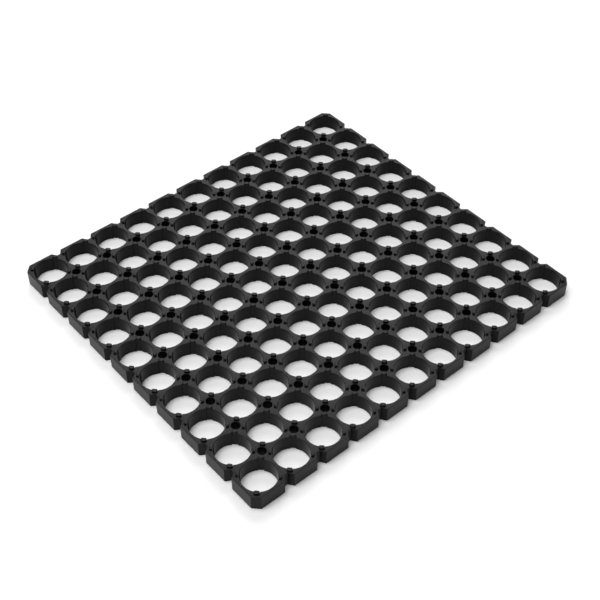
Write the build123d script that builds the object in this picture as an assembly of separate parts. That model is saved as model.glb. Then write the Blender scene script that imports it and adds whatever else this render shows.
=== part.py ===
# Cell holder plate: a one-piece black moulding that spaces 11 x 10 upright cylindrical battery
# cells on a square pitch. Every cell stands in a sixteen-sided through socket: four flats hold
# it, four pads stand a little further out on the diagonals, and slanted faces join them. A
# pocket pierces the web between every four sockets, the rim is notched between neighbouring
# sockets, and a low tab rises behind each pad.
# Units are millimetres. +Z is up, +X runs along the longer side, and the origin is at the
# centre of the underside.
import os
from math import cos, radians, sin, sqrt

from build123d import *

# Cells and lattice
column_count = 11
row_count = 10
cell_diameter = 18.0  # the common cell, 18 mm across and 65 mm long
cell_clearance = 0.25  # all round, at the flats of a socket
wall_between_sockets = 1.7
outer_wall = 1.5

# Heights
ring_height = 9.0
tab_height = 1.0

# Pads and tabs, on the diagonals of each socket
pad_relief = 0.4  # how much further out than the flats the pads stand
tab_width = 3.0

# Openings in the webs and the rim
pocket_reach = 2.3  # from the middle of a web to the pocket's sides, which face the sockets
notch_mouth = 5.9
notch_floor = 2.0
notch_depth = 2.9
corner_chamfer = 3.6

# Derived sizes
socket_half = cell_diameter / 2 + cell_clearance
pad_reach = socket_half + pad_relief
pitch = 2 * socket_half + wall_between_sockets
plate_x = (column_count - 1) * pitch + 2 * (socket_half + outer_wall)
plate_y = (row_count - 1) * pitch + 2 * (socket_half + outer_wall)
slant_angle = radians(22.5)  # halfway from a flat's facing to a pad's


def lattice(columns, rows):
    """Places of a square lattice of columns by rows, one pitch apart, about the middle."""
    return [
        Pos((i - (columns - 1) / 2) * pitch, (j - (rows - 1) / 2) * pitch)
        for i in range(columns)
        for j in range(rows)
    ]


def on_diagonal(reach, across):
    """The point that lies reach out along the +X +Y diagonal and across to its left."""
    return Vector((reach - across) / sqrt(2), (reach + across) / sqrt(2))


def four_fold(points):
    """A closed outline: a quarter's points, then the same again at each quarter turn."""
    return Wire.make_polygon([p.rotate(Axis.Z, 90 * turn) for turn in range(4) for p in points])


def socket_wire():
    """A socket's outline. Its slanted faces start at a pad's end and stop at the flat."""
    pad_start = on_diagonal(pad_reach, -tab_width / 2)
    pad_end = on_diagonal(pad_reach, tab_width / 2)
    slant_reach = pad_start.X * cos(slant_angle) + pad_start.Y * sin(slant_angle)
    flat_half = (slant_reach - socket_half * cos(slant_angle)) / sin(slant_angle)
    flat_start = Vector(socket_half, -flat_half)
    flat_end = Vector(socket_half, flat_half)
    return four_fold([flat_start, flat_end, pad_start, pad_end])


def pocket_wire():
    """A pocket's outline: a square turned to face the four sockets, with its corners cut."""
    half = tab_width / 2
    return four_fold([on_diagonal(pocket_reach, -half), on_diagonal(pocket_reach, half)])


def rim_side(count, across):
    """Points along the lower side of the rim, from left to right, through its notches."""
    half_run = (count - 1) * pitch / 2 + socket_half + outer_wall
    points = [Vector(-half_run + corner_chamfer, -across / 2)]
    for i in range(count - 1):
        middle = (i - (count - 2) / 2) * pitch
        points += [
            Vector(middle - notch_mouth / 2, -across / 2),
            Vector(middle - notch_floor / 2, -across / 2 + notch_depth),
            Vector(middle + notch_floor / 2, -across / 2 + notch_depth),
            Vector(middle + notch_mouth / 2, -across / 2),
        ]
    return points + [Vector(half_run - corner_chamfer, -across / 2)]


def rim_wire():
    """The plate's outline: four notched sides, with chamfers between them."""
    long_side = rim_side(column_count, plate_y)
    short_side = rim_side(row_count, plate_x)
    sides = [long_side, short_side, long_side, short_side]
    return Wire.make_polygon(
        [p.rotate(Axis.Z, 90 * turn) for turn, side in enumerate(sides) for p in side]
    )


def web_face():
    """The plate's section: its outline, less every socket and every pocket."""
    sockets = [place * socket_wire() for place in lattice(column_count, row_count)]
    pockets = [place * pocket_wire() for place in lattice(column_count - 1, row_count - 1)]
    return Face(rim_wire(), sockets + pockets)


def tab():
    """One tab, on the +X +Y diagonal: it runs from its pad back to the pocket."""
    back = pitch / sqrt(2) - pocket_reach
    half = tab_width / 2
    foot = Wire.make_polygon([
        on_diagonal(pad_reach, -half),
        on_diagonal(back, -half),
        on_diagonal(back, half),
        on_diagonal(pad_reach, half),
    ])
    return Pos(0, 0, ring_height) * extrude(Face(foot), tab_height)


def build_plate():
    rings = extrude(web_face(), ring_height)
    one_tab = tab()
    tabs = [
        place * Rot(0, 0, 90 * turn) * one_tab
        for place in lattice(column_count, row_count)
        for turn in range(4)
    ]
    return rings.fuse(*tabs, glue=True)  # the tabs only touch the rings, face to face


os.makedirs("parts", exist_ok=True)
export_step(build_plate(), "parts/cell_holder_plate.step")
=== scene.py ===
"""Cell holder plate: one black moulding with 11 x 10 through sockets for upright battery cells.

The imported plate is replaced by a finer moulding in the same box. Lengths are in metres, in the
CAD frame: +Z up, +X along the longer side, origin at the centre of the underside.
"""
from math import asin, cos, hypot, pi, radians, sin, sqrt

import bmesh
import bpy
from mathutils import Matrix, Vector


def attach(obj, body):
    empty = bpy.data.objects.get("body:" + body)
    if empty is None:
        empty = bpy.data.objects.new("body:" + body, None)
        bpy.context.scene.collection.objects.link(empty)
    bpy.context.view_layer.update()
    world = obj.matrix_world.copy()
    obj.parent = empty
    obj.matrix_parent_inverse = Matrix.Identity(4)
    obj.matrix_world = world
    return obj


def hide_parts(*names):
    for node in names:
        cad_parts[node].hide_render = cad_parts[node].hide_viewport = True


MM = 0.001

# Lattice and sockets
COLUMNS, ROWS = 11, 10
PITCH = 20.2 * MM
SOCKET_HALF = 9.25 * MM  # from the axis to the walls that hold the cell
ARC_RADIUS = 9.3 * MM  # of the socket between its pads, cut off at SOCKET_HALF
PAD_REACH = 9.65 * MM  # from the axis to the pads on the diagonals
PAD_WIDTH = 3.0 * MM
OUTER_WALL = 1.5 * MM
RING_HEIGHT = 9.0 * MM

# Rim and pockets
POCKET_REACH = 2.3 * MM  # from a pocket's middle to its flats
POCKET_FLAT = 1.0 * MM  # half the width of a flat
POCKET_BULGE = 0.95  # reach between two flats, as a share of the reach at their corners
NOTCH_MOUTH, NOTCH_FLOOR, NOTCH_DEPTH = 5.9 * MM, 2.0 * MM, 2.9 * MM
CORNER_CHAMFER = 3.6 * MM

# Tabs, one beyond each pad
TAB_TOP = 10.0 * MM
TAB_WIDTH = 3.0 * MM
TAB_FRONT, TAB_BACK = 9.25 * MM, 11.25 * MM  # from the socket's axis
TAB_ROOT = 0.3 * MM  # how far a tab's mesh reaches down into the ring
TAB_SQUARENESS = 3  # power of the superellipse: 2 would be an ellipse

# Finish of the moulding
EDGE_RADIUS = 0.22 * MM
ARC_STEPS, TAB_STEPS = 9, 16
WELD_DISTANCE = 0.004 * MM
SHARP_ANGLE = radians(35)

# Plastic: 1 / noise scale is a size in metres
PATCH_SCALE, GRAIN_SCALE = 60, 2500
ROUGHNESS = 0.26, 0.32
DARKEST, LIGHTEST = 0.0035, 0.005
GRAIN_STRENGTH, GRAIN_DEPTH = 0.12, 0.04 * MM

# Floor and light
FLOOR_HALF, FLOOR_Z = 3.0, -0.2 * MM
BACKDROP_FROM, BACKDROP_TO = 0.25, 0.9  # how far out the floor turns into the backdrop
DOME_STRENGTH, DOME_WHITE = 0.22, 1.0

# Camera: where it aims, and from which side, how far up and how far away it looks
AIM = Vector((-8.67, -13.11, 5)) * MM
AROUND, ELEVATION, ROLL = radians(-40.806), radians(45.735), radians(0.247)
DISTANCE = 0.63645
LENS, SENSOR_WIDTH = 70.154, 36


def lattice(columns, rows):
    return [
        ((i - (columns - 1) / 2) * PITCH, (j - (rows - 1) / 2) * PITCH)
        for i in range(columns)
        for j in range(rows)
    ]


def quarter_turn(point, turns):
    x, y = point
    for _ in range(turns):
        x, y = -y, x
    return x, y


def on_diagonal(reach, across):
    """The point that lies reach out along the +X +Y diagonal and across to its left."""
    return (reach - across) / sqrt(2), (reach + across) / sqrt(2)


def four_fold(points):
    """A closed outline: a quarter's points, then the same again at each quarter turn."""
    return [quarter_turn(p, turn) for turn in range(4) for p in points]


def socket_outline():
    """Arcs of the cell's fit between four pads, which stand a little further out."""
    half = PAD_WIDTH / 2
    first = pi / 4 + asin(half / ARC_RADIUS)  # where the pad on +X +Y ends
    last = 3 * pi / 4 - asin(half / ARC_RADIUS)
    arc = []
    for k in range(ARC_STEPS + 1):
        a = first + (last - first) * k / ARC_STEPS
        reach = min(ARC_RADIUS, SOCKET_HALF / sin(a))
        arc.append((reach * cos(a), reach * sin(a)))
    return four_fold([on_diagonal(PAD_REACH, -half), on_diagonal(PAD_REACH, half)] + arc)


def pocket_outline():
    """A rounded opening with a flat towards each tab around it."""
    return four_fold(
        [
            on_diagonal(POCKET_REACH, -POCKET_FLAT),
            on_diagonal(POCKET_REACH, POCKET_FLAT),
            (0, POCKET_BULGE * hypot(POCKET_REACH, POCKET_FLAT)),
        ]
    )


def rim_side(count, depth):
    """The side that faces -Y, with a notch between every two of its count sockets."""
    half_run = (count - 1) * PITCH / 2 + SOCKET_HALF + OUTER_WALL
    y = -depth / 2
    points = [(-half_run + CORNER_CHAMFER, y)]
    for i in range(count - 1):
        middle = (i - (count - 2) / 2) * PITCH
        points += [
            (middle - NOTCH_MOUTH / 2, y),
            (middle - NOTCH_FLOOR / 2, y + NOTCH_DEPTH),
            (middle + NOTCH_FLOOR / 2, y + NOTCH_DEPTH),
            (middle + NOTCH_MOUTH / 2, y),
        ]
    return points + [(half_run - CORNER_CHAMFER, y)]


def rim_outline():
    size_x, size_y = (
        (count - 1) * PITCH + 2 * (SOCKET_HALF + OUTER_WALL) for count in (COLUMNS, ROWS)
    )
    sides = [rim_side(COLUMNS, size_y), rim_side(ROWS, size_x)] * 2
    return [quarter_turn(p, turn) for turn, points in enumerate(sides) for p in points]


def tab_outline():
    """A tab's top, on the +X +Y diagonal: an oval button beside the socket."""

    def rounded(value):
        return abs(value) ** (2 / TAB_SQUARENESS) * (1 if value > 0 else -1)

    middle, half_depth = (TAB_BACK + TAB_FRONT) / 2, (TAB_BACK - TAB_FRONT) / 2
    angles = [2 * pi * k / TAB_STEPS for k in range(TAB_STEPS)]
    return [
        on_diagonal(middle + half_depth * rounded(cos(a)), TAB_WIDTH / 2 * rounded(sin(a)))
        for a in angles
    ]


def moulded(name, outlines, low, high):
    """A mesh of flat outlines, even-odd filled, carried from low to high with rounded edges."""
    curve = bpy.data.curves.new(name, "CURVE")
    curve.dimensions = "2D"
    curve.fill_mode = "BOTH"
    curve.extrude = (high - low) / 2 - EDGE_RADIUS
    curve.bevel_depth = EDGE_RADIUS
    curve.bevel_resolution = 1
    curve.offset = -EDGE_RADIUS
    for outline in outlines:
        spline = curve.splines.new("POLY")
        spline.points.add(len(outline) - 1)
        for point, (x, y) in zip(spline.points, outline):
            point.co = (x, y, 0, 1)
        spline.use_cyclic_u = True
    holder = linked(name, curve)
    bpy.context.view_layer.update()
    mesh = bpy.data.meshes.new_from_object(
        holder.evaluated_get(bpy.context.evaluated_depsgraph_get())
    )
    bpy.data.objects.remove(holder)
    mesh.transform(Matrix.Translation((0, 0, (high + low) / 2)))
    return mesh


def linked(name, data):
    """A new object in the scene."""
    made = bpy.data.objects.new(name, data)
    bpy.context.scene.collection.objects.link(made)
    return made


def node(tree, kind, **inputs):
    """A new node; an input's spaces are written as underscores."""
    made = tree.nodes.new("ShaderNode" + kind)
    for name, value in inputs.items():
        made.inputs[name.replace("_", " ")].default_value = value
    return made


def grey(value):
    return value, value, value, 1


def seen_directly(tree):
    """1 for what the camera sees, straight or in a gloss or through a clear part, else 0."""
    path = node(tree, "LightPath")
    seen = path.outputs["Is Camera Ray"]
    for kind in ("Is Glossy Ray", "Is Transmission Ray"):
        either = node(tree, "Math")
        either.operation = "MAXIMUM"
        tree.links.new(seen, either.inputs[0])
        tree.links.new(path.outputs[kind], either.inputs[1])
        seen = either.outputs["Value"]
    return seen


def soft_light(name, place, width, height, power):
    """A rectangular lamp that faces the plate."""
    data = bpy.data.lights.new(name, "AREA")
    data.shape = "RECTANGLE"
    data.size, data.size_y = width, height
    data.energy = power
    lamp = linked(name, data)
    lamp.location = place
    lamp.rotation_euler = (-lamp.location).to_track_quat("-Z", "Y").to_euler()


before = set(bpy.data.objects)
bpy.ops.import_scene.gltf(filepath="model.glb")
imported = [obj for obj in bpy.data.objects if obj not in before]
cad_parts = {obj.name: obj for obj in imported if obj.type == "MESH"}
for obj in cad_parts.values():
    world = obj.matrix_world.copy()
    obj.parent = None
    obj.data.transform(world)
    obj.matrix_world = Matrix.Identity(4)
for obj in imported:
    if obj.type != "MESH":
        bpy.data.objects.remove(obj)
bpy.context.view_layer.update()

# Plate: the rings as one mesh, and each tab as a closed shell rooted in them
sockets = lattice(COLUMNS, ROWS)
outlines = [rim_outline()]
outlines += [[(x + px, y + py) for px, py in socket_outline()] for x, y in sockets]
outlines += [
    [(x + px, y + py) for px, py in pocket_outline()] for x, y in lattice(COLUMNS - 1, ROWS - 1)
]
form = bmesh.new()
form.from_mesh(moulded("rings", outlines, 0, RING_HEIGHT))
one_tab = moulded("one_tab", [tab_outline()], RING_HEIGHT - TAB_ROOT, TAB_TOP)
for x, y in sockets:
    for turn in range(4):
        tab = one_tab.copy()
        tab.transform(Matrix.Translation((x, y, 0)) @ Matrix.Rotation(turn * pi / 2, 4, "Z"))
        form.from_mesh(tab)
        bpy.data.meshes.remove(tab)
bmesh.ops.remove_doubles(form, verts=form.verts, dist=WELD_DISTANCE)
mesh = bpy.data.meshes.new("moulded_plate")
form.to_mesh(mesh)
form.free()
for polygon in mesh.polygons:
    polygon.use_smooth = True
mesh.set_sharp_from_angle(angle=SHARP_ANGLE)
plate = linked("moulded_plate", mesh)
weighted = plate.modifiers.new("weighted", "WEIGHTED_NORMAL")
weighted.keep_sharp = True
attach(plate, "root")
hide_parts("cell_holder_plate")

# Black moulded plastic: a faint sheen with fine grain, and slight unevenness of gloss and colour
plastic = bpy.data.materials.new("black_moulding")
plastic.use_nodes = True
tree = plastic.node_tree
shader = tree.nodes["Principled BSDF"]
shader.inputs["IOR"].default_value = 1.5
shader.inputs["Specular IOR Level"].default_value = 0.105
coordinates = node(tree, "TexCoord")
patches = node(tree, "TexNoise", Scale=PATCH_SCALE, Detail=3)
tree.links.new(coordinates.outputs["Object"], patches.inputs["Vector"])
gloss = node(tree, "MapRange", To_Min=ROUGHNESS[0], To_Max=ROUGHNESS[1])
tree.links.new(patches.outputs["Fac"], gloss.inputs["Value"])
tree.links.new(gloss.outputs["Result"], shader.inputs["Roughness"])
tint = node(tree, "Mix")
tint.data_type = "RGBA"
tint.inputs["A"].default_value = grey(DARKEST)
tint.inputs["B"].default_value = grey(LIGHTEST)
tree.links.new(patches.outputs["Fac"], tint.inputs["Factor"])
tree.links.new(tint.outputs["Result"], shader.inputs["Base Color"])
grain = node(tree, "TexNoise", Scale=GRAIN_SCALE, Detail=2)
tree.links.new(coordinates.outputs["Object"], grain.inputs["Vector"])
bump = node(tree, "Bump", Strength=GRAIN_STRENGTH, Distance=GRAIN_DEPTH)
tree.links.new(grain.outputs["Fac"], bump.inputs["Height"])
tree.links.new(bump.outputs["Normal"], shader.inputs["Normal"])
plate.data.materials.append(plastic)

# Floor: further out it turns into a plain white backdrop, which lights nothing
floor_mesh = bpy.data.meshes.new("floor")
corners = [(-1, -1), (1, -1), (1, 1), (-1, 1)]
floor_mesh.from_pydata(
    [(x * FLOOR_HALF, y * FLOOR_HALF, FLOOR_Z) for x, y in corners], [], [(0, 1, 2, 3)]
)
floor = linked("floor", floor_mesh)
paint = bpy.data.materials.new("floor_paint")
paint.use_nodes = True
tree = paint.node_tree
matt = tree.nodes["Principled BSDF"]
matt.inputs["Base Color"].default_value = grey(0.9)
matt.inputs["Roughness"].default_value = 1.0
matt.inputs["Specular IOR Level"].default_value = 0.0
place = node(tree, "TexCoord")
away = node(tree, "VectorMath")
away.operation = "LENGTH"
fade = node(tree, "MapRange", From_Min=BACKDROP_FROM, From_Max=BACKDROP_TO)
fade.interpolation_type = "SMOOTHSTEP"
share = node(tree, "Math")
share.operation = "MULTIPLY"
backdrop = node(tree, "Emission")
blend = node(tree, "MixShader")
tree.links.new(place.outputs["Object"], away.inputs[0])
tree.links.new(away.outputs["Value"], fade.inputs["Value"])
tree.links.new(fade.outputs["Result"], share.inputs[0])
tree.links.new(seen_directly(tree), share.inputs[1])
tree.links.new(share.outputs["Value"], blend.inputs["Fac"])
tree.links.new(matt.outputs["BSDF"], blend.inputs[1])
tree.links.new(backdrop.outputs["Emission"], blend.inputs[2])
tree.links.new(blend.outputs["Shader"], tree.nodes["Material Output"].inputs["Surface"])
floor.data.materials.append(paint)

# Light: a dome that lights gently but looks plain white, and three soft lamps
world = bpy.data.worlds.new("studio")
world.use_nodes = True
bpy.context.scene.world = world
tree = world.node_tree
background = tree.nodes["Background"]
background.inputs["Color"].default_value = grey(1)
brightness = node(tree, "MapRange", To_Min=DOME_STRENGTH, To_Max=DOME_WHITE)
tree.links.new(seen_directly(tree), brightness.inputs["Value"])
tree.links.new(brightness.outputs["Result"], background.inputs["Strength"])
soft_light("overhead", (-0.4, 0.1, 2.1), 1.2, 1.2, 34)
soft_light("back_panel", (0.95, 1.15, 1.6), 1.3, 1.1, 20)
soft_light("left_key", (-1.6, 0.7, 1.7), 1.0, 1.0, 7)

# Camera
camera_data = bpy.data.cameras.new("camera")
camera_data.lens = LENS
camera_data.sensor_width = SENSOR_WIDTH
camera = linked("camera", camera_data)
back = Vector((sin(AROUND) * cos(ELEVATION), -cos(AROUND) * cos(ELEVATION), sin(ELEVATION)))
camera.location = AIM + DISTANCE * back
level = (-back).to_track_quat("-Z", "Y")
camera.rotation_euler = (level.to_matrix() @ Matrix.Rotation(ROLL, 3, "Z")).to_euler()
bpy.context.scene.camera = camera
bpy.context.scene.view_settings.view_transform = "Standard"
